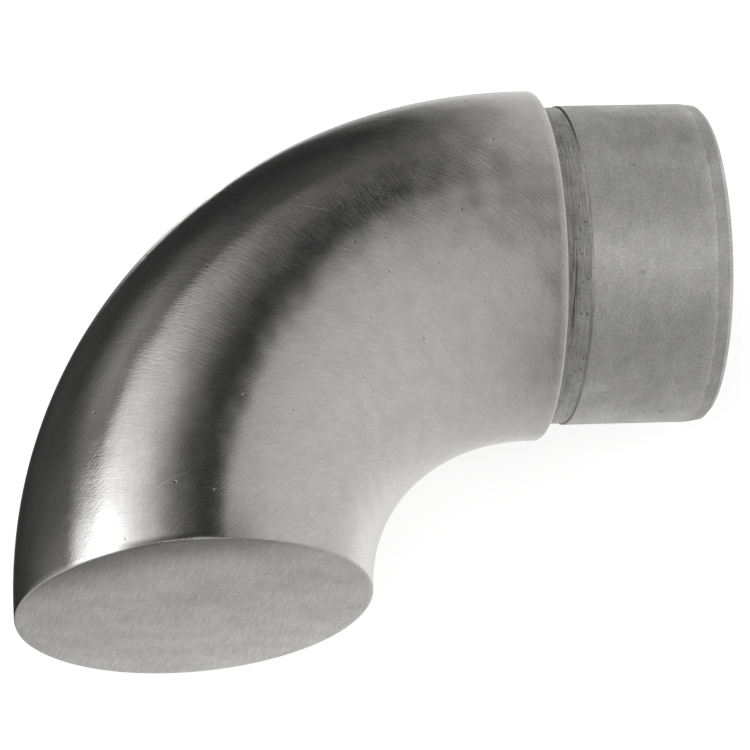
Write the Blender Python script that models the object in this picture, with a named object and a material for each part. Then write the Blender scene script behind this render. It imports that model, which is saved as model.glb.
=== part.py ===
"""Handrail end elbow, 90 degrees: a hollow stainless casting in one piece.

A round body, as thick as the handrail tube, bends through a right angle from
a ground, closed flat end to a square shoulder. Beyond the shoulder a reduced
spigot slides into the rail tube. The casting is hollow: its core runs in from
the open end of the spigot, widens behind the shoulder and follows the bend.

The elbow lies on its side. The spigot points along +X, the flat end faces -Y,
and the origin is on the surface it lies on, at the centre of its outline box.
"""

import math

import bmesh
import bpy
from mathutils import Matrix, Vector

# The handrail tube that the elbow ends
RAIL_OUTER_R = 0.02415
RAIL_WALL = 0.0020
SPIGOT_CLEARANCE = 0.0001

# Body: a round bar bent about an upright axis
BEND_R = 0.0505
COLLAR_L = 0.0012
SHOULDER_ROUND = 0.0005
FACE_GRIND = 0.0012
FACE_BREAK = 0.00035

# Spigot, from the shoulder outwards
SPIGOT_L = 0.0234
RELIEF_L = 0.0034
RELIEF_DEPTH = 0.0002
RELIEF_RUNOUT = 0.0003
LEAD_IN_L = 0.0024
LEAD_IN_DROP = 0.00025
END_CHAMFER = 0.0006

# Hollow inside, left by the casting core
SPIGOT_WALL = 0.00275
BODY_WALL = 0.0030
END_WALL = 0.0035
CORE_CONE_L = 0.0060
CORE_END_ROUND = 0.0030
MOUTH_CHAMFER = 0.0005

# Roundness
RING_SEGMENTS = 64
BEND_STEPS = 24
CORE_BEND_STEPS = 18

STEEL_COLOUR = (0.42, 0.41, 0.40, 1.0)
STEEL_ROUGHNESS = 0.33

BODY_R = RAIL_OUTER_R
SPIGOT_R = RAIL_OUTER_R - RAIL_WALL - SPIGOT_CLEARANCE
BORE_R = SPIGOT_R - SPIGOT_WALL
CORE_R = BODY_R - BODY_WALL
FACE_REACH = BEND_R - FACE_GRIND


def clear_scene():
    for obj in list(bpy.data.objects):
        bpy.data.objects.remove(obj, do_unlink=True)


def make_collection(name):
    collection = bpy.data.collections.new(name)
    bpy.context.scene.collection.children.link(collection)
    return collection


def make_material(name, colour, roughness, metallic):
    material = bpy.data.materials.new(name)
    material.use_nodes = True
    shader = material.node_tree.nodes["Principled BSDF"]
    shader.inputs["Base Color"].default_value = colour
    shader.inputs["Roughness"].default_value = roughness
    shader.inputs["Metallic"].default_value = metallic
    material.diffuse_color = colour
    return material


def first_ring(bm, x, radius):
    """A ring of edges round the spigot axis, square to it."""
    turn = Matrix.Translation((x, 0.0, 0.0)) @ Matrix.Rotation(math.pi / 2, 4, "Y")
    verts = bmesh.ops.create_circle(
        bm, cap_ends=False, segments=RING_SEGMENTS, radius=radius, matrix=turn)["verts"]
    return list({edge for vert in verts for edge in vert.link_edges})


def extrude_ring(bm, ring):
    """Extrude a ring of edges in place; returns the new ring's edges and vertices."""
    out = bmesh.ops.extrude_edge_only(bm, edges=ring)["geom"]
    verts = {item for item in out if isinstance(item, bmesh.types.BMVert)}
    edges = [item for item in out if isinstance(item, bmesh.types.BMEdge)
             and item.verts[0] in verts and item.verts[1] in verts]
    return edges, verts


def turn_ring(bm, ring, x, radius):
    """Carry a ring along the spigot axis to a new station and radius."""
    ring, verts = extrude_ring(bm, ring)
    for vert in verts:
        side = Vector((0.0, vert.co.y, vert.co.z)).normalized() * radius
        vert.co = Vector((x, side.y, side.z))
    return ring


def bend_ring(bm, ring, reach, steps, radius_at):
    """Carry a ring round the bend, until it lies in the plane y = -reach.

    The bend's axis is upright through y = -BEND_R. Each vertex runs on its own
    arc about it, so the last ring is where the plane cuts the bent bar.
    radius_at gives the ring's radius at a length along the centreline.
    """
    centreline = BEND_R * math.acos((BEND_R - reach) / BEND_R)
    for step in range(1, steps + 1):
        share = step / steps
        radius = radius_at(share * centreline)
        ring, verts = extrude_ring(bm, ring)
        for vert in verts:
            out = math.hypot(vert.co.x + COLLAR_L, vert.co.y + BEND_R) - BEND_R
            section = Vector((out, vert.co.z)).normalized() * radius
            arm = BEND_R + section.x
            turned = share * math.acos((BEND_R - reach) / arm)
            vert.co = Vector((-COLLAR_L - arm * math.sin(turned),
                              arm * math.cos(turned) - BEND_R, section.y))
    return ring


def body_radius(length):
    """The body is as thick all the way round the bend."""
    return BODY_R


def core_radius(length):
    """The core widens behind the shoulder, from the bore to the body's wall."""
    return BORE_R + (CORE_R - BORE_R) * min(length / CORE_CONE_L, 1.0)


def close_ring(bm, ring):
    bmesh.ops.edgeloop_fill(bm, edges=ring)


def round_ring(bm, ring, offset, segments):
    bmesh.ops.bevel(bm, geom=ring, offset=offset, offset_type="OFFSET", segments=segments,
                    profile=0.5, affect="EDGES", clamp_overlap=True, material=-1)


def spigot_profile():
    """Stations (x, radius) from the shoulder's root out, and back along the bore."""
    relief_r = SPIGOT_R - RELIEF_DEPTH
    tip_r = SPIGOT_R - LEAD_IN_DROP
    return [
        (0.0, relief_r),
        (RELIEF_L, relief_r),
        (RELIEF_L + RELIEF_RUNOUT, SPIGOT_R),
        (SPIGOT_L - LEAD_IN_L, SPIGOT_R),
        (SPIGOT_L - END_CHAMFER, tip_r),
        (SPIGOT_L, tip_r - END_CHAMFER),
        (SPIGOT_L, BORE_R + MOUTH_CHAMFER),
        (SPIGOT_L - MOUTH_CHAMFER, BORE_R),
        (0.0, BORE_R),
        (-COLLAR_L, BORE_R),
    ]


def build_elbow(collection, material):
    bm = bmesh.new()

    # Outer skin of the bend, from the collar round to the ground face
    collar = first_ring(bm, -COLLAR_L, BODY_R)
    face_edge = bend_ring(bm, collar, FACE_REACH, BEND_STEPS, body_radius)
    close_ring(bm, face_edge)

    # Shoulder, spigot and bore, then the core back round the bend
    shoulder_edge = turn_ring(bm, collar, 0.0, BODY_R)
    ring = shoulder_edge
    for x, radius in spigot_profile():
        ring = turn_ring(bm, ring, x, radius)
    core_end = bend_ring(bm, ring, FACE_REACH - END_WALL, CORE_BEND_STEPS, core_radius)
    close_ring(bm, core_end)

    round_ring(bm, core_end, CORE_END_ROUND, 3)
    round_ring(bm, face_edge, FACE_BREAK, 2)
    round_ring(bm, shoulder_edge, SHOULDER_ROUND, 3)
    bmesh.ops.recalc_face_normals(bm, faces=bm.faces)

    mesh = bpy.data.meshes.new("handrail_elbow")
    bm.to_mesh(mesh)
    bm.free()
    mesh.shade_smooth()
    mesh.set_sharp_from_angle(angle=math.radians(30))
    mesh.materials.append(material)

    elbow = bpy.data.objects.new("handrail_elbow", mesh)
    collection.objects.link(elbow)
    back = COLLAR_L + math.sqrt((BEND_R + BODY_R) ** 2 - FACE_GRIND ** 2)
    elbow.location = ((back - SPIGOT_L) / 2, (FACE_REACH - BODY_R) / 2, BODY_R)
    return elbow


def main():
    clear_scene()
    collection = make_collection("Handrail elbow")
    steel = make_material("Satin stainless steel", STEEL_COLOUR, STEEL_ROUGHNESS, 1.0)
    build_elbow(collection, steel)


main()
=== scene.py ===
"""The look of a handrail end elbow: a stainless casting, satin brushed on its
body, ground on its closed end and left as cast on its spigot."""

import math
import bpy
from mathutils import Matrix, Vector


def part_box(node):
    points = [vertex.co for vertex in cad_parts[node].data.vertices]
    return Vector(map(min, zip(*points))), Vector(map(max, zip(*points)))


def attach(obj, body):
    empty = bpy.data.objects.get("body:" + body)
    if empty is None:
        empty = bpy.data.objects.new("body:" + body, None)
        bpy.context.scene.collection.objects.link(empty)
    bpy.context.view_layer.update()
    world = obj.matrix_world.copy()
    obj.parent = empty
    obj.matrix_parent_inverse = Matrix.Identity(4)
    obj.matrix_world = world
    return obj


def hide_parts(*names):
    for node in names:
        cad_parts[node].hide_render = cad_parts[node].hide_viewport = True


bl_info = {
    "name": "Handrail elbow",
    "version": (1, 0, 0),
    "blender": (4, 5, 0),
    "location": "View3D > Sidebar > Elbow",
    "description": "Models and finishes a cast handrail end elbow, with its studio",
    "category": "Object",
}

import bmesh
import bpy
from bpy.props import FloatProperty, FloatVectorProperty, IntProperty, PointerProperty
from mathutils import Matrix, Quaternion, Vector

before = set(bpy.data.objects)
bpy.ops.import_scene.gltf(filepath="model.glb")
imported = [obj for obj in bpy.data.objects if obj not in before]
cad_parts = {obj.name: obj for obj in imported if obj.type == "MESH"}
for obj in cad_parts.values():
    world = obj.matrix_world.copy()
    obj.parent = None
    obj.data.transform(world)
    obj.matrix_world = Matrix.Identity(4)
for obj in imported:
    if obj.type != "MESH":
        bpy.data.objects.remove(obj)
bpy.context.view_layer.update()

NODE = "handrail_elbow"
LOW, HIGH = (Vector(corner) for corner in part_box(NODE))
BODY_R = (HIGH.z - LOW.z) / 2
FACE_REACH = HIGH.y - LOW.y - BODY_R

# Material slots of the casting, in the order they are given to its mesh
BODY, FACE, SPIGOT, CORE = range(4)

# Rings of the flat end, as shares of its radius; they carry its rolled edge
FACE_RINGS = (0.96, 0.92, 0.88, 0.83, 0.78, 0.72, 0.66, 0.6, 0.4)

# Where the flat end's edge is rolled off most, and where its painted shade lies:
# turned from the top of the casting towards the outer side of the bend
ROLLED_SIDE = math.radians(25)

# Facets, and how sharp an edge has to be to stay one
PLAIN_STEPS = 10
BORE_STEPS = 6
CORE_END_SEGMENTS = 4
FACE_EDGE_SEGMENTS = 3
SHOULDER_SEGMENTS = 4
SHARP_ANGLE = math.radians(32)

# What tells the flat end and the spigot apart from the rest of the casting
FACING_FRONT = -0.98
FACE_TOLERANCE = 1e-5
SHOULDER_TOLERANCE = 1e-6
SHOULDER_STEP = 0.0005

# Places on the skin, in degrees round the tube from the seam underneath; most of
# them centre painted highlights or painted shade
TOP = 180
EDGE_HIGHLIGHT_AT = 130
EDGE_DARK_REFLECTION_AT = 161
EDGE_SHADE_AT = 186
RELIEF_UPPER_SHADE_AT = 202
RUNOUT_SHADE_AT = 205
ROOT_GRIME_AND_SHADE_AT = 212

# Painted shade in bands along the spigot's sides: place, half width, softness and depth
SPIGOT_SHADE_BANDS = ((148, 0.005, 0.004, 1.0), (236, 0.005, 0.004, 0.3), (262, 0.004, 0.005, 0.45))


class CastingSizes(bpy.types.PropertyGroup):
    """Sizes of the casting that its outline box doesn't give."""

    collar_length: FloatProperty(
        name="Collar length", description="Straight length between the bend and the shoulder",
        default=0.0012, min=0.0, subtype="DISTANCE", unit="LENGTH")
    face_grind: FloatProperty(
        name="Face grind", description="How far short of the bend's end the flat end is ground",
        default=0.0012, min=0.0, subtype="DISTANCE", unit="LENGTH")
    spigot_radius: FloatProperty(
        name="Spigot radius", description="Radius of the spigot that slides into the rail tube",
        default=0.02205, min=0.0, subtype="DISTANCE", unit="LENGTH")
    relief_length: FloatProperty(
        name="Relief length", description="Length of the turned relief beside the shoulder",
        default=0.0034, min=0.0, subtype="DISTANCE", unit="LENGTH")
    relief_depth: FloatProperty(
        name="Relief depth", description="How far the relief lies below the spigot's skin",
        default=0.0002, min=0.0, subtype="DISTANCE", unit="LENGTH")
    relief_runout: FloatProperty(
        name="Relief runout", description="Length over which the relief runs out into the spigot",
        default=0.0003, min=0.0, subtype="DISTANCE", unit="LENGTH")
    lead_in_length: FloatProperty(
        name="Lead-in length", description="Tapered length at the spigot's open end",
        default=0.0024, min=0.0, subtype="DISTANCE", unit="LENGTH")
    lead_in_drop: FloatProperty(
        name="Lead-in drop", description="How much the taper takes off the spigot's radius",
        default=0.00025, min=0.0, subtype="DISTANCE", unit="LENGTH")
    end_chamfer: FloatProperty(
        name="End chamfer", description="Chamfer round the spigot's open end",
        default=0.0006, min=0.0, subtype="DISTANCE", unit="LENGTH")
    mouth_chamfer: FloatProperty(
        name="Mouth chamfer", description="Chamfer round the mouth of the bore",
        default=0.0005, min=0.0, subtype="DISTANCE", unit="LENGTH")
    spigot_wall: FloatProperty(
        name="Spigot wall", description="Thickness of the spigot's wall",
        default=0.00275, min=0.0, subtype="DISTANCE", unit="LENGTH")
    body_wall: FloatProperty(
        name="Body wall", description="Thickness of the wall round the bend",
        default=0.003, min=0.0, subtype="DISTANCE", unit="LENGTH")
    end_wall: FloatProperty(
        name="End wall", description="Thickness of the wall behind the flat end",
        default=0.0035, min=0.0, subtype="DISTANCE", unit="LENGTH")
    core_cone: FloatProperty(
        name="Core cone", description="Length over which the core widens behind the shoulder",
        default=0.006, min=0.0, subtype="DISTANCE", unit="LENGTH")
    core_end_round: FloatProperty(
        name="Core end round", description="Radius of the core's closed end",
        default=0.003, min=0.0, subtype="DISTANCE", unit="LENGTH")
    shoulder_round: FloatProperty(
        name="Shoulder round", description="Radius of the shoulder's outer edge",
        default=0.0005, min=0.0, subtype="DISTANCE", unit="LENGTH")
    face_break: FloatProperty(
        name="Face edge break", description="Width of the broken edge round the flat end",
        default=0.00035, min=0.0, subtype="DISTANCE", unit="LENGTH")
    face_roll: FloatProperty(
        name="Face roll-off", description="Most that the flat end's edge is rolled off",
        default=0.0001, min=0.0, subtype="DISTANCE", unit="LENGTH")
    around: IntProperty(
        name="Facets round the tube", description="Facets round the tube", default=208, min=32)
    bend_steps: IntProperty(
        name="Steps round the bend", description="Rings of facets round the bend",
        default=120, min=16)
    core_steps: IntProperty(
        name="Steps round the core", description="Rings of facets round the core's bend",
        default=40, min=8)


class SteelFinish(bpy.types.PropertyGroup):
    """Colours and textures of the steel."""

    body_colour: FloatVectorProperty(
        name="Body colour", description="Colour of the brushed steel", subtype="COLOR",
        size=3, default=(0.60, 0.592, 0.578), min=0.0, max=1.0)
    body_roughness: FloatProperty(
        name="Body roughness", description="Roughness of the brushed steel",
        default=0.155, min=0.0, max=1.0, subtype="FACTOR")
    mark_roughness: FloatProperty(
        name="Mark roughness", description="How much rougher the deepest brush marks are",
        default=0.05, min=0.0, max=1.0, subtype="FACTOR")
    grain_depth: FloatProperty(
        name="Grain depth", description="Depth of the brush marks",
        default=0.000036, min=0.0, subtype="DISTANCE", unit="LENGTH")
    hand_waves: FloatProperty(
        name="Hand waves", description="Height of the slow waves in the brushed skin",
        default=0.0001, min=0.0, subtype="DISTANCE", unit="LENGTH")
    body_anisotropy: FloatProperty(
        name="Brushing", description="How far brushing draws reflections out along the tube",
        default=0.6, min=0.0, max=1.0, subtype="FACTOR")
    face_colour: FloatVectorProperty(
        name="Flat end colour", description="Colour of the ground flat end", subtype="COLOR",
        size=3, default=(0.56, 0.55, 0.535), min=0.0, max=1.0)
    spigot_colour: FloatVectorProperty(
        name="Spigot colour", description="Colour of the cast skin", subtype="COLOR",
        size=3, default=(0.62, 0.615, 0.60), min=0.0, max=1.0)
    spigot_roughness: FloatProperty(
        name="Spigot roughness", description="Roughness of the cast skin",
        default=0.40, min=0.0, max=1.0, subtype="FACTOR")
    core_colour: FloatVectorProperty(
        name="Core colour", description="Colour of the rough skin inside", subtype="COLOR",
        size=3, default=(0.36, 0.355, 0.345), min=0.0, max=1.0)
    # Colour of the grime in the relief, and of the painted shade there
    grime_and_shade_colour: FloatVectorProperty(
        name="Dirt colour", description="Colour of the grime in the relief", subtype="COLOR",
        size=3, default=(0.035, 0.034, 0.034), min=0.0, max=1.0)


class StudioSet(bpy.types.PropertyGroup):
    """Camera, floor and light."""

    aim: FloatVectorProperty(
        name="Aim", description="Point in the middle of the picture", subtype="TRANSLATION",
        size=3, default=(0.00255, -0.00331, 0.02415))
    azimuth: FloatProperty(
        name="Azimuth", description="Camera's turn from the front towards the flat end's side",
        default=math.radians(25.391), subtype="ANGLE", unit="ROTATION")
    elevation: FloatProperty(
        name="Elevation", description="Camera's height above the surface, as an angle",
        default=math.radians(64.048), subtype="ANGLE", unit="ROTATION")
    roll: FloatProperty(
        name="Roll", description="Camera's turn about its own line of sight",
        default=math.radians(21.75), subtype="ANGLE", unit="ROTATION")
    distance: FloatProperty(
        name="Distance", description="From the camera to the point it aims at",
        default=0.932, min=0.1, subtype="DISTANCE", unit="LENGTH")
    lens: FloatProperty(
        name="Lens", description="Focal length on a 36 mm sensor, in millimetres",
        default=327.43, min=10.0, subtype="NONE")
    floor_size: FloatProperty(
        name="Floor size", description="Side of the square floor",
        default=6.0, min=0.5, subtype="DISTANCE", unit="LENGTH")
    floor_colour: FloatVectorProperty(
        name="Floor colour", description="Colour of the pale floor", subtype="COLOR",
        size=3, default=(0.8, 0.8, 0.8), min=0.0, max=1.0)
    floor_glow: FloatProperty(
        name="Floor glow", description="Light that lifts the floor to the white of the background",
        default=0.72, min=0.0, max=1.0, subtype="FACTOR")
    floor_light: FloatProperty(
        name="Floor light", description="Strength of the plain light that falls on the floor",
        default=0.35, min=0.0)
    tent_light: FloatProperty(
        name="Tent light", description="Strength of the lit right-hand side of the studio",
        default=0.757, min=0.0)
    tent_turn: FloatProperty(
        name="Tent turn", description="Turn of the tent's upright edge from the back, in degrees",
        default=8.0)
    tent_lean: FloatProperty(
        name="Tent lean", description="How far the tent's roof leans to the right, as a slope",
        default=0.222)
    dark_side: FloatProperty(
        name="Dark side", description="Strength of the unlit left-hand side of the studio",
        default=0.034, min=0.0)
    window_light: FloatProperty(
        name="Window light", description="Strength of the window on the left",
        default=1.3, min=0.0)
    window_glow: FloatProperty(
        name="Window glow", description="Strength of the glow beside the window",
        default=1.37, min=0.0)
    room_light: FloatProperty(
        name="Room light", description="Strength of the room behind the camera, on the left",
        default=0.35, min=0.0)


def centre():
    """The middle of the shoulder plane, on the spigot's axis."""
    sizes = bpy.context.scene.elbow_sizes
    bend_r = FACE_REACH + sizes.face_grind
    back = sizes.collar_length + math.sqrt((bend_r + BODY_R) ** 2 - sizes.face_grind ** 2)
    return Vector((LOW.x + back, HIGH.y - BODY_R, LOW.z + BODY_R))


def face_middle():
    """The middle of the flat end, from the middle of the shoulder plane."""
    sizes = bpy.context.scene.elbow_sizes
    bend_r = FACE_REACH + sizes.face_grind
    run = math.sqrt(bend_r ** 2 - sizes.face_grind ** 2)
    return Vector((-sizes.collar_length - run, -FACE_REACH, 0.0))


# Modelling. Rings of edges are carried along the spigot and round the bend,
# in a frame whose origin is the middle of the shoulder plane.

def first_ring(bm, x, radius, segments):
    turn = Matrix.Translation((x, 0.0, 0.0)) @ Matrix.Rotation(math.pi / 2, 4, "Y")
    verts = bmesh.ops.create_circle(
        bm, cap_ends=False, segments=segments, radius=radius, matrix=turn)["verts"]
    return list(dict.fromkeys(edge for vert in verts for edge in vert.link_edges))


def extrude_ring(bm, ring):
    out = bmesh.ops.extrude_edge_only(bm, edges=ring)["geom"]
    verts = {item for item in out if isinstance(item, bmesh.types.BMVert)}
    edges = [item for item in out if isinstance(item, bmesh.types.BMEdge)
             and item.verts[0] in verts and item.verts[1] in verts]
    return edges, verts


def turn_ring(bm, ring, x, radius):
    """Carry a ring along the spigot axis to a new station and radius."""
    ring, verts = extrude_ring(bm, ring)
    for vert in verts:
        side = Vector((0.0, vert.co.y, vert.co.z)).normalized() * radius
        vert.co = Vector((x, side.y, side.z))
    return ring


def bend_ring(bm, ring, sizes, reach, steps, radius_at):
    """Carry a ring round the bend, until it lies in the plane y = -reach."""
    bend_r = FACE_REACH + sizes.face_grind
    collar = sizes.collar_length
    centreline = bend_r * math.acos((bend_r - reach) / bend_r)
    for step in range(1, steps + 1):
        share = step / steps
        radius = radius_at(share * centreline)
        ring, verts = extrude_ring(bm, ring)
        for vert in verts:
            out = math.hypot(vert.co.x + collar, vert.co.y + bend_r) - bend_r
            section = Vector((out, vert.co.z)).normalized() * radius
            arm = bend_r + section.x
            turned = share * math.acos((bend_r - reach) / arm)
            vert.co = Vector((-collar - arm * math.sin(turned),
                              arm * math.cos(turned) - bend_r, section.y))
    return ring


def round_ring(bm, ring, offset, segments):
    bmesh.ops.bevel(bm, geom=ring, offset=offset, offset_type="OFFSET", segments=segments,
                    profile=0.5, affect="EDGES", clamp_overlap=True, material=-1)


def skin_place(co, sizes):
    """Where a point lies on the straightened bar: length from the shoulder
    towards the flat end, angle round the centreline, and distance from it."""
    bend_r = FACE_REACH + sizes.face_grind
    if co.x > -sizes.collar_length:
        return -co.x, math.atan2(co.z, co.y), math.hypot(co.y, co.z)
    arm = math.hypot(co.x + sizes.collar_length, co.y + bend_r)
    turned = math.atan2(-co.x - sizes.collar_length, co.y + bend_r)
    out = arm - bend_r
    return (sizes.collar_length + bend_r * turned, math.atan2(co.z, out), math.hypot(out, co.z))


def spigot_stations(sizes, length):
    """Stations (x, radius) from the shoulder's root out, and back along the bore."""
    skin = sizes.spigot_radius
    relief = skin - sizes.relief_depth
    tip = skin - sizes.lead_in_drop
    bore = skin - sizes.spigot_wall
    relief_end = sizes.relief_length + sizes.relief_runout
    plain_end = length - sizes.lead_in_length
    stations = [(0.0, relief), (sizes.relief_length, relief), (relief_end, skin)]
    stations += [(relief_end + (plain_end - relief_end) * i / PLAIN_STEPS, skin)
                 for i in range(1, PLAIN_STEPS + 1)]
    stations += [
        (length - sizes.end_chamfer, tip),
        (length, tip - sizes.end_chamfer),
        (length, bore + sizes.mouth_chamfer),
        (length - sizes.mouth_chamfer, bore),
    ]
    stations += [(length * (1 - i / BORE_STEPS), bore) for i in range(1, BORE_STEPS + 1)]
    stations.append((-sizes.collar_length, bore))
    return stations


def give_finishes(bm, sizes):
    """Set each face's material slot from where it lies."""
    for face in bm.faces:
        middle = face.calc_center_median()
        along, _, distance = skin_place(middle, sizes)
        if along > 0.0:
            wall_middle = BODY_R - sizes.body_wall / 2
        else:
            wall_middle = sizes.spigot_radius - sizes.spigot_wall / 2
        if face.normal.y < FACING_FRONT and middle.y < -FACE_REACH + FACE_TOLERANCE:
            face.material_index = FACE
        elif distance < wall_middle:
            face.material_index = CORE
        elif along > SHOULDER_TOLERANCE or distance > sizes.spigot_radius + SHOULDER_STEP:
            face.material_index = BODY
        else:
            face.material_index = SPIGOT


def unroll(bm, sizes):
    """UV map in metres: u runs along the tube, v round it, with the seam
    underneath. On the flat end it lies in the face's own plane."""
    layer = bm.loops.layers.uv.new("skin")
    for face in bm.faces:
        middle = face.calc_center_median()
        _, seen_angle, _ = skin_place(middle, sizes)
        for loop in face.loops:
            co = loop.vert.co
            if face.material_index == FACE:
                loop[layer].uv = (co.x, co.z)
                continue
            along, angle, distance = skin_place(co, sizes)
            angle = (angle + math.pi / 2) % (2 * math.pi)
            seen = (seen_angle + math.pi / 2) % (2 * math.pi)
            if angle - seen > math.pi:
                angle -= 2 * math.pi
            elif seen - angle > math.pi:
                angle += 2 * math.pi
            loop[layer].uv = (along + BODY_R - distance, angle * BODY_R)


def roll_face_edge(bm, sizes):
    """Roll off the flat end's edge, most on its upper outer side."""
    middle = face_middle()
    for vert in bm.verts:
        spoke = vert.co - middle
        edge = math.hypot(spoke.x, spoke.z) / BODY_R
        if abs(spoke.y) < 1e-4 and edge > FACE_RINGS[-2]:
            fall = (edge - FACE_RINGS[-2]) / (1.0 - FACE_RINGS[-2])
            side = 0.5 + 0.5 * math.cos(math.atan2(-spoke.x, spoke.z) - ROLLED_SIDE)
            vert.co.y += sizes.face_roll * min(fall, 1.0) ** 2 * side


def casting_mesh(sizes):
    """The hollow elbow as one closed mesh, in the row frame."""
    length = HIGH.x - centre().x
    bore = sizes.spigot_radius - sizes.spigot_wall
    core = BODY_R - sizes.body_wall

    def body_radius(_):
        return BODY_R

    def core_radius(at):
        return bore + (core - bore) * min(at / sizes.core_cone, 1.0)

    bm = bmesh.new()
    collar = first_ring(bm, -sizes.collar_length, BODY_R, sizes.around)
    face_edge = bend_ring(bm, collar, sizes, FACE_REACH, sizes.bend_steps, body_radius)
    rim = face_edge
    for share in FACE_RINGS:
        rim, verts = extrude_ring(bm, rim)
        for vert in verts:
            spoke = vert.co - face_middle()
            vert.co = face_middle() + spoke.normalized() * BODY_R * share
    bmesh.ops.edgeloop_fill(bm, edges=rim)

    shoulder_edge = turn_ring(bm, collar, 0.0, BODY_R)
    ring = shoulder_edge
    for x, radius in spigot_stations(sizes, length):
        ring = turn_ring(bm, ring, x, radius)
    core_end = bend_ring(bm, ring, sizes, FACE_REACH - sizes.end_wall,
                         sizes.core_steps, core_radius)
    bmesh.ops.edgeloop_fill(bm, edges=core_end)

    round_ring(bm, core_end, sizes.core_end_round, CORE_END_SEGMENTS)
    round_ring(bm, face_edge, sizes.face_break, FACE_EDGE_SEGMENTS)
    round_ring(bm, shoulder_edge, sizes.shoulder_round, SHOULDER_SEGMENTS)
    bmesh.ops.recalc_face_normals(bm, faces=bm.faces)

    give_finishes(bm, sizes)
    unroll(bm, sizes)
    roll_face_edge(bm, sizes)
    bmesh.ops.translate(bm, verts=bm.verts, vec=centre())

    mesh = bpy.data.meshes.new("casting")
    bm.to_mesh(mesh)
    bm.free()
    mesh.shade_smooth()
    mesh.set_sharp_from_angle(angle=SHARP_ANGLE)
    return mesh


# Materials

def add(tree, kind, inputs=None, **settings):
    """Add a node; inputs maps a socket's name or number to a value or a socket."""
    node = tree.nodes.new(kind)
    for name, value in settings.items():
        setattr(node, name, value)
    fill(tree, node, inputs or {})
    return node


def fill(tree, node, inputs):
    for key, value in inputs.items():
        if isinstance(value, bpy.types.NodeSocket):
            tree.links.new(value, node.inputs[key])
        else:
            node.inputs[key].default_value = value


def calculate(tree, operation, *values):
    return add(tree, "ShaderNodeMath", dict(enumerate(values)), operation=operation).outputs[0]


def product(tree, *values):
    result = values[0]
    for value in values[1:]:
        result = calculate(tree, "MULTIPLY", result, value)
    return result


def total(tree, *values):
    result = values[0]
    for value in values[1:]:
        result = calculate(tree, "ADD", result, value)
    return result


def spread(tree, value, low, high, to_low, to_high):
    """Map a value between two limits on to another range, in a straight line."""
    return add(tree, "ShaderNodeMapRange",
               {"Value": value, "From Min": low, "From Max": high,
                "To Min": to_low, "To Max": to_high}).outputs["Result"]


def step(tree, value, at, soft):
    """0 below an edge and 1 above it, softened to both sides."""
    return add(tree, "ShaderNodeMapRange",
               {"Value": value, "From Min": at - soft, "From Max": at + soft},
               interpolation_type="SMOOTHSTEP").outputs["Result"]


def below(tree, value, at, soft):
    """1 below an edge and 0 above it, softened to both sides."""
    return calculate(tree, "SUBTRACT", 1.0, step(tree, value, at, soft))


def band(tree, value, at, half, soft):
    """1 within a half width of a place, 0 outside it."""
    away = calculate(tree, "ABSOLUTE", calculate(tree, "SUBTRACT", value, at))
    return below(tree, away, half, soft)


def within(tree, mask, factor):
    """A factor where a mask is 1, and 1 where it is 0."""
    return spread(tree, mask, 0.0, 1.0, 1.0, factor)


def round_tube(degrees):
    """How far round the tube a place lies on the skin, from the seam."""
    return math.radians(degrees) * BODY_R


def mix_colour(tree, share, a, b):
    node = tree.nodes.new("ShaderNodeMix")
    node.data_type = "RGBA"
    fill(tree, node, {0: share, 6: a, 7: b})
    return node.outputs[2]


def shaded(tree, colour, shade):
    """A colour made lighter or darker by a factor."""
    return add(tree, "ShaderNodeVectorMath", {0: colour, "Scale": shade},
               operation="SCALE").outputs[0]


def new_group(name, inputs, output):
    """A shader node group with named inputs and one named output."""
    group = bpy.data.node_groups.new(name, "ShaderNodeTree")
    for label, default in inputs.items():
        if default is None:
            group.interface.new_socket(label, in_out="INPUT", socket_type="NodeSocketVector")
        else:
            group.interface.new_socket(
                label, in_out="INPUT", socket_type="NodeSocketFloat").default_value = default
    group.interface.new_socket(output, in_out="OUTPUT", socket_type="NodeSocketFloat")
    return group, group.nodes.new("NodeGroupInput").outputs, group.nodes.new("NodeGroupOutput")


def place(tree, group, **inputs):
    """Place a group in a material; returns its output."""
    return add(tree, "ShaderNodeGroup", {
        name.replace("_", " ").capitalize(): value for name, value in inputs.items()},
        node_tree=group).outputs[0]


def stretched(tree, given):
    """The skin's coordinates, turned, and scaled so that a mark is one unit."""
    turned = add(tree, "ShaderNodeVectorRotate",
                 {"Vector": given["Skin"], "Angle": given["Turn"]}, rotation_type="Z_AXIS")
    scale = add(tree, "ShaderNodeCombineXYZ",
                {0: calculate(tree, "DIVIDE", 1.0, given["Width"]),
                 1: calculate(tree, "DIVIDE", 1.0, given["Length"])})
    return add(tree, "ShaderNodeVectorMath", {0: turned.outputs[0], 1: scale.outputs[0]},
               operation="MULTIPLY").outputs[0]


def brush_marks_group():
    """Abrasive marks side by side, as a height from 0 to 1."""
    group, given, out = new_group(
        "Brush marks", {"Skin": None, "Width": 0.0003, "Length": 0.002, "Turn": 0.0}, "Height")
    noise = add(group, "ShaderNodeTexNoise",
                {"Vector": stretched(group, given), "Scale": 1.0, "Detail": 2.0,
                 "Roughness": 0.6}, noise_dimensions="2D")
    group.links.new(noise.outputs[0], out.inputs[0])
    return group


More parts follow.
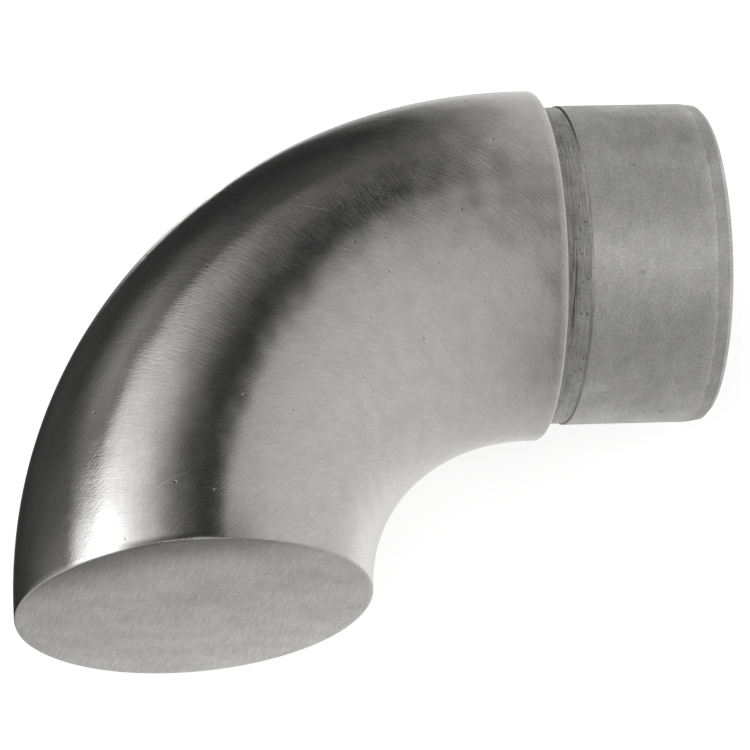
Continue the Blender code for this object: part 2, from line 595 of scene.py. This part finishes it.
def scattered_group():
    """Single scratches or pits, each somewhere in its own cell, as a mask."""
    group, given, out = new_group(
        "Scattered marks", {"Skin": None, "Width": 0.002, "Length": 0.006, "Turn": 0.0,
                            "Thickness": 0.03, "Reach": 0.4, "Share": 0.3}, "Mask")
    cells = stretched(group, given)
    voronoi = add(group, "ShaderNodeTexVoronoi", {"Vector": cells, "Scale": 1.0},
                  voronoi_dimensions="2D")
    away = add(group, "ShaderNodeVectorMath", {0: cells, 1: voronoi.outputs["Position"]},
               operation="SUBTRACT").outputs[0]
    sides = add(group, "ShaderNodeSeparateXYZ", {0: away}).outputs
    across = calculate(group, "DIVIDE", sides[0], given["Thickness"])
    along = calculate(group, "DIVIDE", sides[1], given["Reach"])
    far = calculate(group, "SQRT", total(group, product(group, across, across),
                                         product(group, along, along)))
    chance = add(group, "ShaderNodeSeparateColor", {0: voronoi.outputs["Color"]}).outputs
    kept = calculate(group, "LESS_THAN", chance[0], given["Share"])
    depth = spread(group, chance[1], 0.0, 1.0, 0.4, 1.0)
    mask = product(group, spread(group, far, 0.4, 1.0, 1.0, 0.0), kept, depth)
    group.links.new(mask, out.inputs[0])
    return group


def patches_group():
    """Cloudy patches of a given size, from 0 to 1."""
    group, given, out = new_group("Patches", {"Skin": None, "Size": 0.01, "Detail": 3.0}, "Patch")
    noise = add(group, "ShaderNodeTexNoise",
                {"Vector": given["Skin"], "Scale": calculate(group, "DIVIDE", 1.0, given["Size"]),
                 "Detail": given["Detail"], "Roughness": 0.6}, noise_dimensions="2D")
    group.links.new(noise.outputs[0], out.inputs[0])
    return group


def new_steel(name, colour):
    material = bpy.data.materials.new(name)
    material.use_nodes = True
    material.diffuse_color = (*colour, 1.0)
    tree = material.node_tree
    tree.nodes.clear()
    shader = add(tree, "ShaderNodeBsdfPrincipled", {"Metallic": 1.0})
    output = tree.nodes.new("ShaderNodeOutputMaterial")
    tree.links.new(shader.outputs[0], output.inputs["Surface"])
    skin = add(tree, "ShaderNodeUVMap", uv_map="skin").outputs["UV"]
    return material, tree, shader, skin


def raised(tree, height):
    """The normal of a surface with this height in metres."""
    return add(tree, "ShaderNodeBump", {"Height": height, "Strength": 1.0,
                                        "Distance": 1.0}).outputs[0]


def satin_body(finish, marks, scattered, patches):
    """Brushed satin: marks run round the tube and draw reflections along it.
    The belt has cut deepest on the outer side of the bend."""
    material, tree, shader, skin = new_steel("Satin brushed steel", finish.body_colour)
    fine = place(tree, marks, skin=skin, width=0.00015, length=0.0034, turn=0.08)
    crossed = place(tree, marks, skin=skin, width=0.00016, length=0.0026, turn=-0.20)
    long = place(tree, marks, skin=skin, width=0.00035, length=0.009, turn=0.03)
    slanted = place(tree, marks, skin=skin, width=0.00017, length=0.003, turn=-0.75)
    waves = place(tree, patches, skin=skin, size=0.007, detail=1.0)
    cloud = place(tree, patches, skin=skin, size=0.004, detail=4.0)
    scratches = place(tree, scattered, skin=skin, width=0.0045, length=0.016, turn=-0.5,
                      thickness=0.022, reach=0.22, share=0.4)
    pits = place(tree, scattered, skin=skin, width=0.007, length=0.007,
                 thickness=0.028, reach=0.035, share=0.35)
    mottle = place(tree, patches, skin=skin, size=0.0007, detail=2.0)

    sides = add(tree, "ShaderNodeSeparateXYZ", {0: skin}).outputs
    outwards = calculate(tree, "SINE", calculate(tree, "DIVIDE", sides[1], BODY_R))
    belt = product(tree, step(tree, outwards, 0.1, 0.25), step(tree, sides[0], 0.018, 0.008),
                   within(tree, step(tree, sides[0], 0.062, 0.008), 0.6))
    brushed = total(tree, product(tree, fine, 0.40), product(tree, crossed, 0.40),
                    product(tree, long, 0.20))
    grain = total(tree, product(tree, belt, brushed),
                  product(tree, within(tree, belt, 0.0), slanted))
    # The photo shows the reflections along the top a little aside of where a true
    # tube has them. Why isn't known, so the normal is tilted there to match.
    tilted = product(tree, step(tree, sides[1], round_tube(TOP), 0.0042),
                     spread(tree, sides[0], 0.025, 0.055, -1.0, 1.0))
    height = total(tree, product(tree, grain, spread(tree, belt, 0.0, 1.0, 0.3, 1.0),
                                 finish.grain_depth),
                   product(tree, tilted, 0.00018),
                   product(tree, scratches, -0.000010), product(tree, pits, -0.00003),
                   product(tree, waves, finish.hand_waves))

    # Beside the flat end's edge: a painted dark reflection in a narrow band, a painted
    # highlight in a streak and painted shade in a patch.
    place_y = add(tree, "ShaderNodeSeparateXYZ",
                  {0: add(tree, "ShaderNodeTexCoord").outputs["Object"]}).outputs[1]
    above_face = calculate(tree, "SUBTRACT", place_y, centre().y + face_middle().y)
    edge_dark_reflection = product(tree, below(tree, above_face, 0.0009, 0.0005),
                   band(tree, sides[1], round_tube(EDGE_DARK_REFLECTION_AT), 0.005, 0.0025))
    edge_highlight = product(tree, below(tree, above_face, 0.0045, 0.003),
                     band(tree, sides[1], round_tube(EDGE_HIGHLIGHT_AT), 0.0030, 0.0035))
    edge_shade = product(tree, below(tree, above_face, 0.003, 0.003),
                   band(tree, sides[1], round_tube(EDGE_SHADE_AT), 0.0022, 0.0030))
    shade = product(tree, spread(tree, cloud, 0.3, 0.7, 0.955, 1.045),
                    spread(tree, grain, 0.35, 0.65, 0.94, 1.06),
                    spread(tree, mottle, 0.3, 0.7, 0.965, 1.035),
                    within(tree, scratches, 1.2),
                    within(tree, pits, 0.5),
                    # painted dark reflection, painted highlight and painted shade beside the flat
                    # end
                    within(tree, edge_dark_reflection, 0.35),
                    within(tree, edge_highlight, 1.35),
                    within(tree, edge_shade, 0.62))
    torn = calculate(tree, "MAXIMUM", fine, crossed)
    rough = total(tree, spread(tree, cloud, 0.3, 0.7, -0.015, 0.02),
                  spread(tree, torn, 0.55, 0.80, 0.0, finish.mark_roughness),
                  finish.body_roughness)
    fill(tree, shader, {"Base Color": shaded(tree, finish.body_colour, shade),
                        "Roughness": rough, "Anisotropic": finish.body_anisotropy,
                        "Normal": raised(tree, height),
                        "Tangent": add(tree, "ShaderNodeTangent", direction_type="UV_MAP",
                                       uv_map="skin").outputs[0]})
    return material


def ground_face(finish, marks, scattered, patches):
    """The flat end: ground upright, then smeared and handled, with painted shade
    along its upper outer edge and painted light towards its lower outer side."""
    material, tree, shader, skin = new_steel("Ground flat end", finish.face_colour)
    fine = place(tree, marks, skin=skin, width=0.00026, length=0.004, turn=0.04)
    swirls = place(tree, marks, skin=skin, width=0.0004, length=0.0016, turn=0.9)
    smears = place(tree, marks, skin=skin, width=0.011, length=0.0045, turn=0.25)
    cloud = place(tree, patches, skin=skin, size=0.006, detail=4.0)
    scratches = place(tree, scattered, skin=skin, width=0.009, length=0.009, turn=1.2,
                      thickness=0.012, reach=0.12, share=0.35)
    pits = place(tree, scattered, skin=skin, width=0.006, length=0.006,
                 thickness=0.03, reach=0.04, share=0.3)

    sides = add(tree, "ShaderNodeSeparateXYZ", {0: skin}).outputs
    out = calculate(tree, "DIVIDE", calculate(tree, "SUBTRACT", sides[0], face_middle().x), BODY_R)
    up = calculate(tree, "DIVIDE", sides[1], BODY_R)
    edge = calculate(tree, "SQRT", total(tree, product(tree, out, out), product(tree, up, up)))
    upper_outer = total(tree, product(tree, out, -math.sin(ROLLED_SIDE)),
                        product(tree, up, math.cos(ROLLED_SIDE)))
    # Painted shade in a fringe along the upper outer edge
    painted_rim_shade = product(tree, step(tree, edge, 0.73, 0.28), step(tree, upper_outer, 0.62, 0.3))

    grain = total(tree, product(tree, fine, 0.7), product(tree, swirls, 0.3))
    height = total(tree, product(tree, grain, 0.000010), product(tree, scratches, -0.00001))
    shade = product(tree, spread(tree, cloud, 0.3, 0.7, 0.92, 1.08),
                    spread(tree, smears, 0.35, 0.65, 0.95, 1.05),
                    spread(tree, grain, 0.35, 0.65, 0.88, 1.12),
                    within(tree, scratches, 0.5),
                    within(tree, pits, 0.6),
                    # painted shade along the upper outer edge
                    within(tree, painted_rim_shade, 0.36),
                    # painted light: lighter towards the lower outer side
                    spread(tree, upper_outer, -1.0, 0.1, 1.35, 1.0))
    fill(tree, shader, {"Base Color": shaded(tree, finish.face_colour, shade),
                        "Roughness": spread(tree, cloud, 0.3, 0.7, 0.34, 0.40),
                        "Normal": raised(tree, height)})
    return material


def cast_spigot(finish, marks, scattered, patches):
    """The spigot: cast skin with fine pits and stains, and painted shade along its
    sides. Beside the shoulder it is turned down in rings, with grime and painted
    shade in the relief; the lead-in has painted shade and a painted highlight."""
    material, tree, shader, skin = new_steel("Cast spigot", finish.spigot_colour)
    sizes = bpy.context.scene.elbow_sizes
    along, around, _ = add(tree, "ShaderNodeSeparateXYZ", {0: skin}).outputs
    root = BODY_R - sizes.spigot_radius
    relief_end = root - sizes.relief_length - sizes.relief_runout / 2
    lead_in = root - (HIGH.x - centre().x) + sizes.lead_in_length

    grit = add(tree, "ShaderNodeTexNoise", {"Vector": skin, "Scale": 2600.0, "Detail": 2.0,
                                            "Roughness": 0.65}, noise_dimensions="2D").outputs[0]
    rings = place(tree, marks, skin=skin, width=0.00028, length=0.004, turn=0.0)
    strokes = place(tree, marks, skin=skin, width=0.0009, length=0.005, turn=0.1)
    smears = place(tree, marks, skin=skin, width=0.0003, length=0.007, turn=0.02)
    cloud = place(tree, patches, skin=skin, size=0.0075, detail=5.0)
    blotch = place(tree, patches, skin=skin, size=0.0026, detail=4.0)
    pits = place(tree, scattered, skin=skin, width=0.0012, length=0.0012,
                 thickness=0.09, reach=0.11, share=0.42)
    stains = place(tree, scattered, skin=skin, width=0.009, length=0.009,
                   thickness=0.06, reach=0.05, share=0.5)
    scratches = place(tree, scattered, skin=skin, width=0.007, length=0.012, turn=-0.12,
                      thickness=0.012, reach=0.2, share=0.35)

    # Grime and painted shade lie in the corners of the relief, thick in places and thin
    # in others; a painted shade line runs along its runout, and its specks are dirt
    relief = step(tree, along, relief_end, 0.0001)
    turned = product(tree, relief, spread(tree, rings, 0.36, 0.64, 0.0, 1.0))
    # Painted shade over the relief's upper side
    relief_upper_shade = band(tree, around, round_tube(RELIEF_UPPER_SHADE_AT), 0.006, 0.005)
    root_grime_and_shade = product(tree, band(tree, along, 0.0011, 0.0005, 0.0006),
                     spread(tree, smears, 0.42, 0.62, 0.1, 1.0),
                     spread(tree, cloud, 0.35, 0.55, 0.45, 1.0),
                     spread(tree, band(tree, around, round_tube(ROOT_GRIME_AND_SHADE_AT), 0.008, 0.006),
                            0.0, 1.0, 0.4, 1.0))
    # Painted shade: a dark line along the relief's runout, on its upper side
    runout_shade = product(tree, band(tree, along, relief_end, 0.00028, 0.00012),
                     spread(tree, cloud, 0.35, 0.60, 0.4, 1.0),
                     spread(tree, band(tree, around, round_tube(RUNOUT_SHADE_AT), 0.016, 0.008),
                            0.0, 1.0, 0.0, 1.0))
    specks = product(tree, band(tree, along, 0.0003, 0.0016, 0.0006),
                     place(tree, scattered, skin=skin, width=0.0007, length=0.0014,
                           thickness=0.22, reach=0.25, share=0.22))
    grime_and_shade = calculate(tree, "MAXIMUM", calculate(tree, "MAXIMUM", product(tree, root_grime_and_shade, 0.9),
                                                 product(tree, runout_shade, 0.6)),
                      product(tree, specks, 0.8))
    # Painted highlight: a light line where the lead-in starts, broken in places
    lead_in_highlight = product(tree, band(tree, along, lead_in, 0.00008, 0.0001),
                   step(tree, cloud, 0.5, 0.1))
    # Painted shade over the whole lead-in
    lead = step(tree, along, lead_in, 0.0001)
    # Painted shade along the spigot's sides
    spigot_side_shade = total(tree, *(
        product(tree, band(tree, around, round_tube(at), half, soft), depth)
        for at, half, soft, depth in SPIGOT_SHADE_BANDS))

    shade = product(tree, spread(tree, cloud, 0.3, 0.7, 0.92, 1.08),
                    spread(tree, blotch, 0.3, 0.7, 0.94, 1.06),
                    spread(tree, strokes, 0.35, 0.65, 0.97, 1.03),
                    spread(tree, grit, 0.3, 0.7, 0.88, 1.12),
                    within(tree, pits, 0.6),
                    within(tree, stains, 0.7),
                    within(tree, scratches, 0.7),
                    # painted shade: the relief darker in blotches
                    spread(tree, product(tree, relief, blotch), 0.2, 0.65, 1.0, 0.68),
                    spread(tree, turned, 0.0, 1.0, 0.98, 1.12),
                    # painted shade along the spigot's sides
                    within(tree, spigot_side_shade, 0.76),
                    # painted shade over the lead-in
                    spread(tree, lead, 0.0, 1.0, 0.86, 1.0),
                    # painted shade over the relief's upper side
                    within(tree, product(tree, relief, relief_upper_shade), 0.66),
                    # painted highlight where the lead-in starts
                    within(tree, lead_in_highlight, 1.3))
    height = total(tree, product(tree, grit, 0.000022), product(tree, pits, -0.00004),
                   product(tree, turned, 0.000012), product(tree, scratches, -0.00001))
    # grime and painted shade in the relief, in the dark colour
    colour = mix_colour(tree, grime_and_shade, shaded(tree, finish.spigot_colour, shade),
                        (*finish.grime_and_shade_colour, 1.0))
    fill(tree, shader, {"Base Color": colour,
                        "Roughness": spread(tree, cloud, 0.3, 0.7,
                                            finish.spigot_roughness + 0.05,
                                            finish.spigot_roughness - 0.04),
                        "Normal": raised(tree, height)})
    return material


def rough_core(finish, scattered, patches):
    """Inside, the skin that the casting core left."""
    material, tree, shader, skin = new_steel("Cast core", finish.core_colour)
    grit = add(tree, "ShaderNodeTexNoise", {"Vector": skin, "Scale": 1500.0, "Detail": 3.0,
                                            "Roughness": 0.65}, noise_dimensions="2D").outputs[0]
    cloud = place(tree, patches, skin=skin, size=0.005, detail=4.0)
    pits = place(tree, scattered, skin=skin, width=0.0018, length=0.0018,
                 thickness=0.16, reach=0.18, share=0.4)
    height = total(tree, product(tree, grit, 0.00008), product(tree, pits, -0.00009))
    shade = product(tree, spread(tree, cloud, 0.3, 0.7, 0.78, 1.12),
                    spread(tree, grit, 0.3, 0.7, 0.85, 1.12),
                    within(tree, pits, 0.6))
    fill(tree, shader, {"Base Color": shaded(tree, finish.core_colour, shade),
                        "Roughness": spread(tree, cloud, 0.3, 0.7, 0.52, 0.62),
                        "Normal": raised(tree, height)})
    return material


# Studio

def studio_world(studio):
    """White to the camera, and a plain pale light on the floor. The steel sees
    the tent round it: lit on the right, behind an edge that leans over the
    part, and on the left a dark room with a window and its glow. Glossy rays
    don't see the white, which would wash out these reflections."""
    world = bpy.data.worlds.new("Studio")
    world.use_nodes = True
    tree = world.node_tree
    tree.nodes.clear()
    direction = add(tree, "ShaderNodeTexCoord").outputs["Generated"]
    sides = add(tree, "ShaderNodeSeparateXYZ", {0: direction}).outputs
    azimuth = calculate(tree, "DEGREES", calculate(tree, "ARCTAN2", sides[0], sides[1]))
    elevation = calculate(tree, "DEGREES", calculate(tree, "ARCSINE", sides[2]))

    def towards(az, el):
        az, el = math.radians(az), math.radians(el)
        return Vector((math.sin(az) * math.cos(el), math.cos(az) * math.cos(el), math.sin(el)))

    def spot(strength, az, el, width):
        """A round soft spot of light, or of shade where the strength is below 0."""
        facing = add(tree, "ShaderNodeVectorMath", {0: direction, 1: towards(az, el)},
                     operation="DOT_PRODUCT").outputs["Value"]
        fall = calculate(tree, "DIVIDE", calculate(tree, "SUBTRACT", facing, 1.0),
                         1.0 - math.cos(math.radians(width)))
        return product(tree, calculate(tree, "EXPONENT", fall), strength)

    def right_of(plane, at, soft):
        """1 on the right of a plane through the part, softened in degrees."""
        facing = add(tree, "ShaderNodeVectorMath", {0: direction, 1: plane.normalized()},
                     operation="DOT_PRODUCT").outputs["Value"]
        angle = calculate(tree, "DEGREES", calculate(tree, "ARCSINE", facing))
        return step(tree, angle, at, soft)

    turn = math.radians(studio.tent_turn)
    tent_side = product(tree, right_of(Vector((math.cos(turn), -math.sin(turn), 0.0)), 0.0, 6.5),
                        right_of(Vector((1.0, 0.0, -studio.tent_lean)), 0.4, 3.5))
    tent = total(tree, studio.tent_light,
                 spot(0.37, 63, -36, 24),      # lit table, to the right
                 spot(-0.34, -45, 65, 50),     # darker overhead
                 spot(-0.94, -145, 2, 50))     # darker behind the camera

    window = product(tree, below(tree, azimuth, -58.0, 5.0), step(tree, azimuth, -122.0, 12.0),
                     step(tree, elevation, 3.0, 8.0), below(tree, elevation, 35.0, 26.0))
    glow = product(tree, below(tree, azimuth, -36.0, 34.0), step(tree, azimuth, -122.0, 12.0),
                   step(tree, elevation, 14.0, 3.0), below(tree, elevation, 53.0, 25.0))
    room = total(tree, studio.dark_side, product(tree, window, studio.window_light),
                 product(tree, glow, studio.window_glow),
                 spot(0.07, 0, 15, 17),        # faint light on the back, the left and below it
                 spot(0.30, -38, -1, 13), spot(0.36, -90, -15, 25), spot(0.025, -35, -42, 15),
                 spot(3.6, 4.5, -54.5, 2.6),   # a sliver of lit table behind the part
                 spot(3.0, -135, 68, 14),      # a lamp beside the camera
                 spot(0.40, 27, 58, 6.5), spot(0.36, 54, 72, 7),    # gaps at the tent's corner
                 product(tree, below(tree, azimuth, -122.0, 14.0), studio.room_light))

    seen_by_steel = total(
        tree, product(tree, calculate(tree, "MAXIMUM", tent, 0.0), tent_side),
        product(tree, room, calculate(tree, "SUBTRACT", 1.0, tent_side)))
    ray = add(tree, "ShaderNodeLightPath").outputs
    lit = add(tree, "ShaderNodeMix", {0: ray["Is Diffuse Ray"], 2: seen_by_steel,
                                      3: studio.floor_light}).outputs[0]
    seen = calculate(tree, "MAXIMUM", ray["Is Camera Ray"], ray["Is Transmission Ray"])
    strength = add(tree, "ShaderNodeMix", {0: seen, 2: lit, 3: 1.0}).outputs[0]
    back = add(tree, "ShaderNodeBackground", {"Color": (1.0, 1.0, 1.0, 1.0),
                                              "Strength": strength})
    output = tree.nodes.new("ShaderNodeOutputWorld")
    tree.links.new(back.outputs[0], output.inputs["Surface"])
    bpy.context.scene.world = world


def pale_floor(studio):
    """A white floor that only the camera and the shadows see."""
    material = bpy.data.materials.new("Pale floor")
    material.use_nodes = True
    tree = material.node_tree
    tree.nodes.clear()
    seen = add(tree, "ShaderNodeLightPath").outputs["Is Camera Ray"]
    glow = product(tree, seen, studio.floor_glow)
    shader = add(tree, "ShaderNodeBsdfPrincipled", {
        "Base Color": (*studio.floor_colour, 1.0), "Roughness": 0.9,
        "Emission Color": (1.0, 1.0, 1.0, 1.0), "Emission Strength": glow})
    shader.inputs["Specular IOR Level"].default_value = 0.0
    output = tree.nodes.new("ShaderNodeOutputMaterial")
    tree.links.new(shader.outputs[0], output.inputs["Surface"])

    bm = bmesh.new()
    bmesh.ops.create_grid(bm, x_segments=1, y_segments=1, size=studio.floor_size / 2)
    bmesh.ops.translate(bm, verts=bm.verts, vec=(0.0, 0.0, LOW.z))
    mesh = bpy.data.meshes.new("floor")
    bm.to_mesh(mesh)
    bm.free()
    mesh.materials.append(material)
    floor = bpy.data.objects.new("floor", mesh)
    bpy.context.scene.collection.objects.link(floor)
    floor.visible_glossy = False


def place_camera(studio):
    """Look down on the part, with its spigot to the right."""
    data = bpy.data.cameras.new("camera")
    data.lens = studio.lens
    data.sensor_width = 36.0
    data.sensor_fit = "HORIZONTAL"
    data.clip_start = 0.05
    data.clip_end = 20.0
    camera = bpy.data.objects.new("camera", data)
    bpy.context.scene.collection.objects.link(camera)
    out = Vector((-math.sin(studio.azimuth) * math.cos(studio.elevation),
                  -math.cos(studio.azimuth) * math.cos(studio.elevation),
                  math.sin(studio.elevation)))
    turn = out.to_track_quat("Z", "Y") @ Quaternion((0.0, 0.0, 1.0), studio.roll)
    camera.rotation_mode = "QUATERNION"
    camera.rotation_quaternion = turn
    camera.location = Vector(studio.aim) + out * studio.distance
    bpy.context.scene.camera = camera


class ELBOW_OT_casting(bpy.types.Operator):
    """Model the casting and give it its finishes"""

    bl_idname = "elbow.casting"
    bl_label = "Casting"

    def execute(self, context):
        finish = context.scene.elbow_finish
        mesh = casting_mesh(context.scene.elbow_sizes)
        marks, scattered, patches = brush_marks_group(), scattered_group(), patches_group()
        for material in (satin_body(finish, marks, scattered, patches),
                         ground_face(finish, marks, scattered, patches),
                         cast_spigot(finish, marks, scattered, patches),
                         rough_core(finish, scattered, patches)):
            mesh.materials.append(material)
        casting = bpy.data.objects.new("casting", mesh)
        context.scene.collection.objects.link(casting)
        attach(casting, "root")
        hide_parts(NODE)
        return {"FINISHED"}


class ELBOW_OT_studio(bpy.types.Operator):
    """Set up the camera, the floor and the light"""

    bl_idname = "elbow.studio"
    bl_label = "Studio"

    def execute(self, context):
        studio = context.scene.elbow_studio
        place_camera(studio)
        pale_floor(studio)
        studio_world(studio)
        context.scene.view_settings.view_transform = "Standard"
        return {"FINISHED"}


class ELBOW_PT_panel(bpy.types.Panel):
    """Sizes, finishes and studio of the elbow"""

    bl_idname = "ELBOW_PT_panel"
    bl_label = "Handrail elbow"
    bl_space_type = "VIEW_3D"
    bl_region_type = "UI"
    bl_category = "Elbow"

    def draw(self, context):
        for title, group, operator in (
                ("Sizes", context.scene.elbow_sizes, "elbow.casting"),
                ("Finish", context.scene.elbow_finish, None),
                ("Studio", context.scene.elbow_studio, "elbow.studio")):
            box = self.layout.box()
            box.label(text=title)
            for name in group.__annotations__:
                box.prop(group, name)
            if operator:
                box.operator(operator)


CLASSES = (CastingSizes, SteelFinish, StudioSet, ELBOW_OT_casting, ELBOW_OT_studio,
           ELBOW_PT_panel)


def register():
    for item in CLASSES:
        bpy.utils.register_class(item)
    bpy.types.Scene.elbow_sizes = PointerProperty(type=CastingSizes)
    bpy.types.Scene.elbow_finish = PointerProperty(type=SteelFinish)
    bpy.types.Scene.elbow_studio = PointerProperty(type=StudioSet)


def unregister():
    del bpy.types.Scene.elbow_studio
    del bpy.types.Scene.elbow_finish
    del bpy.types.Scene.elbow_sizes
    for item in reversed(CLASSES):
        bpy.utils.unregister_class(item)


def main():
    register()
    bpy.ops.elbow.studio()
    bpy.ops.elbow.casting()


if __name__ == "__main__":
    main()
